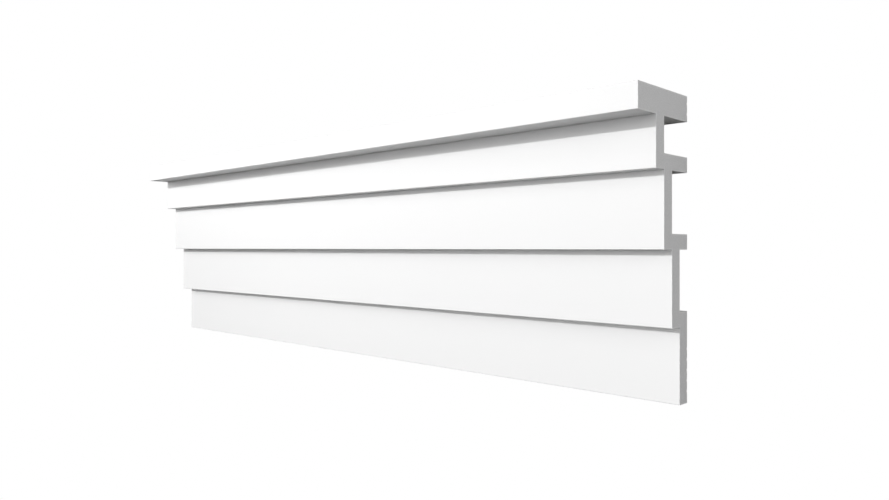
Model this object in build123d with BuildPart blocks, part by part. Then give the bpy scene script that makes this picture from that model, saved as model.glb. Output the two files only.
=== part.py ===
"""A stepped cornice moulding: one length of white moulded polymer, open behind its steps.

It lies on its wall side, the way loose stock lies on a floor. X runs along the length, +Y is
the side that meets the ceiling, and Z is the distance out from the wall, which is at Z = 0.
"""
import os

from build123d import *

os.makedirs("parts", exist_ok=True)

# Overall sizes, in millimetres
length = 625.0
band_height = 47.5      # from the foot of one step to the foot of the next
band_count = 4          # the cap and the first web share the top band

# The cap, a thick shelf that meets the ceiling
cap_height = 16.0
cap_overhang = 21.0     # how far it stands out past the first web

# The webs, one behind the other, and the ribs that hold them off the wall
web_thickness = 10.0    # also how far each step sets back from the one above
rib_thickness = 9.5
plate_lap = 9.5         # how far the bottom plate runs up behind the last web

# The mould leaves this small radius on every corner of the section
corner_radius = 0.4

# Half-round glue grooves in the faces that are stuck to the wall
groove_radius = 0.75
groove_pitch = 6.5
plate_groove_count = 5
plate_groove_edge = 7.5     # from the bottom edge to the centre of the first groove
cap_groove_count = 2

# Places that follow from the sizes above
wall_height = band_height * band_count
depth = cap_overhang + web_thickness * band_count
ceiling_y = wall_height / 2
bottom_y = -wall_height / 2


with BuildPart() as cornice_moulding:
    # The section, seen along the length: the height on the wall is drawn along the sketch's
    # X, and the distance out from the wall along its Y
    with BuildSketch(Plane.YZ) as section:
        # The cap reaches from the wall to the front
        with Locations((ceiling_y, 0)):
            Rectangle(cap_height, depth, align=(Align.MAX, Align.MIN))

        # Each web stands one thickness behind the web above, on the front edge of a rib
        for band in range(1, band_count):
            foot_y = ceiling_y - band * band_height
            web_back = web_thickness * (band_count - band)
            with Locations((foot_y, web_back)):
                Rectangle(band_height, web_thickness, align=(Align.MIN, Align.MIN))
            if band < band_count - 1:
                with Locations((foot_y, 0)):
                    Rectangle(rib_thickness, web_back, align=(Align.MIN, Align.MIN))

        # The bottom plate lies on the wall and laps up behind the last web
        with Locations((bottom_y, 0)):
            Rectangle(band_height + plate_lap, web_thickness, align=(Align.MIN, Align.MIN))

        fillet(section.vertices(), radius=corner_radius)

        # Glue grooves, from the bottom edge up on the plate and centred on the cap
        plate_groove_y = bottom_y + plate_groove_edge + groove_pitch * (plate_groove_count - 1) / 2
        with Locations((plate_groove_y, 0)):
            with GridLocations(groove_pitch, 0, plate_groove_count, 1):
                Circle(groove_radius, mode=Mode.SUBTRACT)
        with Locations((ceiling_y - cap_height / 2, 0)):
            with GridLocations(groove_pitch, 0, cap_groove_count, 1):
                Circle(groove_radius, mode=Mode.SUBTRACT)

    # Both ends are sawn square
    extrude(amount=length / 2, both=True)

cornice_moulding.part.label = "cornice_moulding"
export_step(cornice_moulding.part, "parts/cornice_moulding.step")
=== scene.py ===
import math

import bpy
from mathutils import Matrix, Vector


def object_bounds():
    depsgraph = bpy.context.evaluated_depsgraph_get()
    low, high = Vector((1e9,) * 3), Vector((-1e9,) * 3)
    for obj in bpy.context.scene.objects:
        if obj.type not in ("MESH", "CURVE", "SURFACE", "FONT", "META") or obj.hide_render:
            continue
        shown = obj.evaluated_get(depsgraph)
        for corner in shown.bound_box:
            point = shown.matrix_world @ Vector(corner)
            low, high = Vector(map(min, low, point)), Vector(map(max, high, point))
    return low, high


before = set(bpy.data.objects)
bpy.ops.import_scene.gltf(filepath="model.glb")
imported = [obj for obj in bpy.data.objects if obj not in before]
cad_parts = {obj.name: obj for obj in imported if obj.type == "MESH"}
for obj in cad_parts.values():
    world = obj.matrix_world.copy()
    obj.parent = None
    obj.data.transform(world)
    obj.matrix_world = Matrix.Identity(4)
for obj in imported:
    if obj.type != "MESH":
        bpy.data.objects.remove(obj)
cad_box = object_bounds()

# The moulding lies on its wall side: X runs along it, +Y is its ceiling side, +Z is out from
# the wall. All lengths here are in metres.
low, high = cad_box
BAND_COUNT = 4
BAND_HEIGHT = (high.y - low.y) / BAND_COUNT     # from the foot of one step to the foot of the next
WEB_THICKNESS = 0.010       # also how far each step sets back from the one above
CAP_HEIGHT = 0.016
RIB_THICKNESS = 0.0095      # the bottom plate laps up behind the lowest web by as much
TOUCH = 0.00005             # how near a face counts as on it

# The sawn ends: closed cells cut open in the core, a dense skin round it, and the blade's arcs
SKIN_THICKNESS = 0.0008
CELL_SIZE = 0.00067
CORE_CELL_DEPTH = 0.00006
SKIN_CELL_DEPTH = 0.000018
SAW_MARK_PITCH = 0.0009
SAW_MARK_DEPTH = 0.00006
BLADE_MIDDLE_UP = 0.26      # the blade stood above the ceiling side and behind the wall side
BLADE_MIDDLE_OUT = -0.10

# The drawn faces: faint lines along the length, and primer that is sprayed from the room side
DIE_LINE_PITCH = 0.0014
DIE_LINE_RUN = 0.33         # how far along such a line keeps its shade
BARE_DIE_LINE_HEIGHT = 0.00005
PRIMED_DIE_LINE_HEIGHT = 0.00002
PEEL_SIZE = 0.0011
PEEL_HEIGHT = 0.00001
MOTTLE_SIZE = 0.083         # faint large patches in the primer
SPRAY_EDGE_WANDER = 0.003   # how unevenly the primer ends
SPRAY_EDGE_PATCH = 0.02


def grey(lightness):
    """A colour that is the same in red, green and blue."""
    return (lightness, lightness, lightness, 1.0)


# Colours, the two between which each finish varies, and roughness
PRIMER_COLOURS = grey(0.805), grey(0.795)
BARE_COLOURS = (0.88, 0.88, 0.87, 1.0), (0.82, 0.82, 0.81, 1.0)
SHADED_CELL_COLOURS = grey(0.77), grey(0.90)       # inside an open cell, darker there as painted shade in its hollow, and on the walls between them
SKIN_COLOUR = grey(0.90)
PRIMED_ROUGHNESS = 0.44
BARE_ROUGHNESS = 0.62
DIE_LINE_ROUGHNESS = 0.06                   # what the die lines add to either
CORE_ROUGHNESS = 0.85
SKIN_ROUGHNESS = 0.70
POLYMER_IOR = 1.46
FLOOR_COLOUR = grey(0.36)
WHITE = grey(1.0)

# The camera stands past the right-hand end, level with the middle of the steps
CAMERA_PAST_END = 0.2007
CAMERA_OUT_FROM_CAP = 0.3642
CAMERA_ABOVE_MIDDLE = 0.0010
CAMERA_TURN = math.radians(43.92)
CAMERA_NEAREST = 0.01
LENS_MM = 29.10
FRAME_WIDTH_PX = 889
HORIZON_ABOVE_MIDDLE_PX = 1.98

FLOOR_SIZE = 40
FLOOR_GAP = 0.0001          # keeps the floor from showing through the wall side

# Studio light: a hard key, a wide soft light over it, and a dim sky. The lamps are in add_light.
KEY_STRENGTH = 1.511
KEY_SPREAD = math.radians(1.5)
KEY_LEAN = math.radians(20.1)           # from straight above towards the ceiling side
OVERHEAD_STRENGTH = 1.235
OVERHEAD_SPREAD = math.radians(45)
OVERHEAD_LEAN = math.radians(6)
SKY_STRENGTH = 0.252                    # at the ceiling side's horizon, falling to nothing above


class Value:
    """A number or colour worked out at each point of a surface.

    It wraps a socket, and each of Python's operators on it adds a Math node.
    """

    def __init__(self, shader, socket):
        self.shader = shader
        self.socket = socket

    def _math(self, operation, *operands):
        settings = {"operation": operation}
        return self.shader.add("ShaderNodeMath", settings, dict(enumerate(operands)))

    def __add__(self, other):
        return self._math("ADD", self, other)

    def __radd__(self, other):
        return self._math("ADD", other, self)

    def __sub__(self, other):
        return self._math("SUBTRACT", self, other)

    def __rsub__(self, other):
        return self._math("SUBTRACT", other, self)

    def __mul__(self, other):
        return self._math("MULTIPLY", self, other)

    def __rmul__(self, other):
        return self._math("MULTIPLY", other, self)

    def __truediv__(self, other):
        return self._math("DIVIDE", self, other)

    def __rtruediv__(self, other):
        return self._math("DIVIDE", other, self)

    def __gt__(self, other):
        return self._math("GREATER_THAN", self, other)

    def __lt__(self, other):
        return self._math("LESS_THAN", self, other)

    def __abs__(self):
        return self._math("ABSOLUTE", self)

    def floor(self):
        return self._math("FLOOR", self)

    def root(self):
        return self._math("SQRT", self)

    def largest(self, other):
        return self._math("MAXIMUM", self, other)

    def smallest(self, other):
        return self._math("MINIMUM", self, other)

    def between(self, first, second):
        """The first number where this share is 0, the second where it is 1."""
        return first + (second - first) * self


class Shader:
    """The node tree of one material or world, with one method that adds any node."""

    def __init__(self, owner):
        owner.use_nodes = True
        self.tree = owner.node_tree
        self.tree.nodes.clear()

    def add(self, kind, settings=None, inputs=None, output=0):
        """Adds a node, sets what it is first and its sockets after that, and gives one output."""
        node = self.tree.nodes.new(kind)
        for name, value in (settings or {}).items():
            setattr(node, name, value)
        for name, value in (inputs or {}).items():
            if isinstance(value, Value):
                self.tree.links.new(value.socket, node.inputs[name])
            else:
                node.inputs[name].default_value = value
        return Value(self, node.outputs[output] if node.outputs else None)

    def axes(self, vector):
        """The three numbers of a vector."""
        parts = self.add("ShaderNodeSeparateXYZ", inputs={"Vector": vector})
        return [Value(self, socket) for socket in parts.socket.node.outputs]

    def stretched(self, vector, scale):
        """A place with each axis scaled, for a pattern that runs one way."""
        inputs = {"Vector": vector, "Scale": scale}
        return self.add("ShaderNodeMapping", {"vector_type": "POINT"}, inputs)

    def noise(self, vector, size, detail=2.0):
        """Soft random mottling between 0 and 1, in patches of about this size."""
        inputs = {"Vector": vector, "Scale": 1 / size, "Detail": detail}
        return self.add("ShaderNodeTexNoise", inputs=inputs)

    def noise_along(self, distance, size):
        """The same, but it changes only with one distance."""
        inputs = {"W": distance, "Scale": 1 / size, "Detail": 2.0}
        return self.add("ShaderNodeTexNoise", {"noise_dimensions": "1D"}, inputs)

    def cells(self, vector, size):
        """How far each place is from the middle of its cell, in cells."""
        inputs = {"Vector": vector, "Scale": 1 / size}
        return self.add("ShaderNodeTexVoronoi", inputs=inputs, output="Distance")

    def blend(self, share, first, second):
        """The first colour at share 0, the second at share 1."""
        # A Mix node's colours are its sockets 6 and 7, and its blended colour is output 2
        inputs = {"Factor": share, 6: first, 7: second}
        return self.add("ShaderNodeMix", {"data_type": "RGBA"}, inputs, output=2)

    def finish(self, surface, target="ShaderNodeOutputMaterial"):
        """Links the finished surface to the output."""
        self.add(target, inputs={"Surface": surface})


def section_blocks():
    """The section as overlapping blocks: lowest height, top, back and front of each."""
    yield high.y - CAP_HEIGHT, high.y, low.z, high.z
    for band in range(BAND_COUNT):
        foot = low.y + band * BAND_HEIGHT
        top = min(foot + BAND_HEIGHT + RIB_THICKNESS, high.y)
        web_back = band * WEB_THICKNESS
        yield foot, top, web_back, web_back + WEB_THICKNESS
        # Band 0 is the bottom plate. Its lap carries the lowest web, and ribs carry the others.
        if band >= 1:
            yield foot, foot + RIB_THICKNESS, low.z, web_back + WEB_THICKNESS


def depth_in_section(up, out):
    """How deep a place on a sawn end lies inside the section's outline."""
    deepest = None
    for foot, top, back, front in section_blocks():
        depth = (up - foot).smallest(top - up).smallest(out - back).smallest(front - out)
        deepest = depth if deepest is None else deepest.largest(depth)
    return deepest


def white_polymer():
    """White polymer: primed on the room side, bare where it is hidden, fine-celled where sawn."""
    material = bpy.data.materials.new("white_polymer")
    shader = Shader(material)
    place = shader.add("ShaderNodeTexCoord", output="Object")
    along, up, out = shader.axes(place)

    # The ends are sawn, and the primer stops behind the webs and at the ceiling face
    sawn = abs(along) > high.x - TOUCH
    band = ((up - (low.y + TOUCH)) / BAND_HEIGHT).floor()
    web_middle = (band + 0.5) * WEB_THICKNESS
    spray_edge = web_middle + SPRAY_EDGE_WANDER * (shader.noise(place, SPRAY_EDGE_PATCH) - 0.5)
    bare = (out < spray_edge).largest(up > high.y - TOUCH)

    # Lines along the length from the die, and the fine peel and large patches of the primer
    drawn_out = shader.stretched(place, (DIE_LINE_PITCH / DIE_LINE_RUN, 1.0, 1.0))
    die_lines = shader.noise(drawn_out, DIE_LINE_PITCH, detail=3.0)
    peel = shader.noise(place, PEEL_SIZE)
    mottling = shader.noise(place, MOTTLE_SIZE)

    # Cells and blade arcs of the sawn ends
    skin = depth_in_section(up, out) < SKIN_THICKNESS
    cells = shader.cells(place, CELL_SIZE)
    rise = up - BLADE_MIDDLE_UP
    reach = out - BLADE_MIDDLE_OUT
    blade_arcs = shader.noise_along((rise * rise + reach * reach).root(), SAW_MARK_PITCH)

    primed_colour = shader.blend(mottling, *PRIMER_COLOURS)
    bare_colour = shader.blend(die_lines, *BARE_COLOURS)
    drawn_colour = shader.blend(bare, primed_colour, bare_colour)
    # The sawn core's colour darkens towards the middle of each open cell: painted shade in the
    # cell's hollow
    sawn_colour = shader.blend(skin, shader.blend(cells, *SHADED_CELL_COLOURS), SKIN_COLOUR)
    colour = shader.blend(sawn, drawn_colour, sawn_colour)

    smooth_roughness = bare.between(PRIMED_ROUGHNESS, BARE_ROUGHNESS)
    drawn_roughness = smooth_roughness + DIE_LINE_ROUGHNESS * die_lines
    sawn_roughness = skin.between(CORE_ROUGHNESS, SKIN_ROUGHNESS)
    roughness = sawn.between(drawn_roughness, sawn_roughness)

    die_line_height = bare.between(PRIMED_DIE_LINE_HEIGHT, BARE_DIE_LINE_HEIGHT)
    drawn_height = die_line_height * die_lines + PEEL_HEIGHT * peel
    cell_depth = skin.between(CORE_CELL_DEPTH, SKIN_CELL_DEPTH)
    sawn_height = cell_depth * cells + SAW_MARK_DEPTH * blade_arcs
    height = sawn.between(drawn_height, sawn_height)

    inputs = {"Strength": 1.0, "Distance": 1.0, "Height": height}
    relief = shader.add("ShaderNodeBump", inputs=inputs)
    inputs = {"Base Color": colour, "Roughness": roughness, "Normal": relief, "IOR": POLYMER_IOR}
    shader.finish(shader.add("ShaderNodeBsdfPrincipled", inputs=inputs))
    return material


def pale_floor():
    """A studio floor that looks plain white to the camera and throws back a third of the light."""
    material = bpy.data.materials.new("pale_floor")
    shader = Shader(material)
    seen = shader.add("ShaderNodeLightPath", output="Is Camera Ray")
    cloth = shader.add("ShaderNodeBsdfDiffuse", inputs={"Color": FLOOR_COLOUR})
    glow = shader.add("ShaderNodeEmission", inputs={"Color": WHITE, "Strength": 1.0})
    # A Mix Shader's sockets are its factor, 0, and the two surfaces that it mixes, 1 and 2
    shader.finish(shader.add("ShaderNodeMixShader", inputs={0: seen, 1: cloth, 2: glow}))
    return material


def add_camera():
    """Looks across the moulding from past its right-hand end, upright in the picture."""
    camera = bpy.data.cameras.new("camera")
    camera.lens = LENS_MM
    camera.shift_y = -HORIZON_ABOVE_MIDDLE_PX / FRAME_WIDTH_PX
    camera.clip_start = CAMERA_NEAREST
    holder = bpy.data.objects.new("camera", camera)
    holder.location = (high.x + CAMERA_PAST_END, CAMERA_ABOVE_MIDDLE, high.z + CAMERA_OUT_FROM_CAP)
    holder.rotation_euler = (0, CAMERA_TURN, 0)
    bpy.context.collection.objects.link(holder)
    bpy.context.scene.camera = holder


def add_floor():
    """A flat floor that the moulding's wall side lies on, wide enough to fill every view."""
    bpy.ops.mesh.primitive_plane_add(size=FLOOR_SIZE, location=(0, 0, low.z - FLOOR_GAP))
    floor = bpy.context.object
    floor.name = "floor"
    floor.data.materials.append(pale_floor())


def add_light_object(name, kind, settings, place, direction):
    """A light that shines along a direction and isn't itself seen."""
    lamp = bpy.data.lights.new(name, kind)
    for setting, value in settings.items():
        setattr(lamp, setting, value)
    holder = bpy.data.objects.new(name, lamp)
    holder.location = place
    holder.rotation_euler = Vector(direction).to_track_quat("-Z", "Y").to_euler()
    holder.visible_camera = False
    bpy.context.collection.objects.link(holder)


def add_distant_light(name, strength, spread, lean):
    """A parallel light from above that leans to the ceiling side, square to the length."""
    direction = (0, -math.sin(lean), -math.cos(lean))
    add_light_object(name, "SUN", {"energy": strength, "angle": spread}, (0, 0, 1), direction)


def add_softbox(name, power, size, place, aim):
    """A rectangular lamp near the moulding."""
    settings = {"shape": "RECTANGLE", "size": size[0], "size_y": size[1], "energy": power}
    add_light_object(name, "AREA", settings, place, Vector(aim) - Vector(place))


def add_sky():
    """A dim sky on the ceiling side, white where the camera looks past the floor."""
    world = bpy.data.worlds.new("sky")
    bpy.context.scene.world = world
    shader = Shader(world)
    towards_ceiling_side = shader.axes(shader.add("ShaderNodeTexCoord", output="Generated"))[1]
    seen = shader.add("ShaderNodeLightPath", output="Is Camera Ray")
    strength = seen.between(SKY_STRENGTH * towards_ceiling_side.largest(0.0), 1.0)
    sky = shader.add("ShaderNodeBackground", inputs={"Color": WHITE, "Strength": strength})
    shader.finish(sky, "ShaderNodeOutputWorld")


def add_light():
    """The key draws the crisp shadow lines under the steps; the rest keep them pale."""
    add_distant_light("key", KEY_STRENGTH, KEY_SPREAD, KEY_LEAN)
    add_distant_light("overhead", OVERHEAD_STRENGTH, OVERHEAD_SPREAD, OVERHEAD_LEAN)
    add_softbox(
        "lamp_over_middle",
        power=0.475,
        size=(0.30, 0.10),
        place=(-0.12, high.y + 0.105, high.z + 0.32),
        aim=(-0.12, 0.05, low.z),
    )
    add_softbox(
        "lamp_over_right",
        power=0.096,
        size=(0.10, 0.10),
        place=(0.20, high.y + 0.155, high.z + 0.19),
        aim=(0.20, 0.07, low.z),
    )
    add_softbox(
        "wide_lamp_over_right",
        power=0.125,
        size=(0.40, 0.40),
        place=(0.25, -0.02, high.z + 0.34),
        aim=(0.22, 0.0, low.z),
    )
    add_softbox(
        "lamp_past_right_end",
        power=1.04,
        size=(0.50, 0.40),
        place=(high.x + 0.59, high.y + 0.105, high.z + 0.20),
        aim=(high.x, 0.0, 0.03),
    )
    add_softbox(
        "lamp_past_left_end",
        power=1.66,
        size=(0.50, 0.40),
        place=(low.x - 0.59, high.y + 0.205, high.z + 0.30),
        aim=(low.x, 0.0, 0.03),
    )
    add_sky()


def dress_moulding():
    """Gives the moulding its finish."""
    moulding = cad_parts["cornice_moulding"]
    material = white_polymer()
    for slot in moulding.material_slots:
        slot.material = material


bpy.context.scene.view_settings.view_transform = "Standard"

add_camera()
add_floor()
add_light()
dress_moulding()
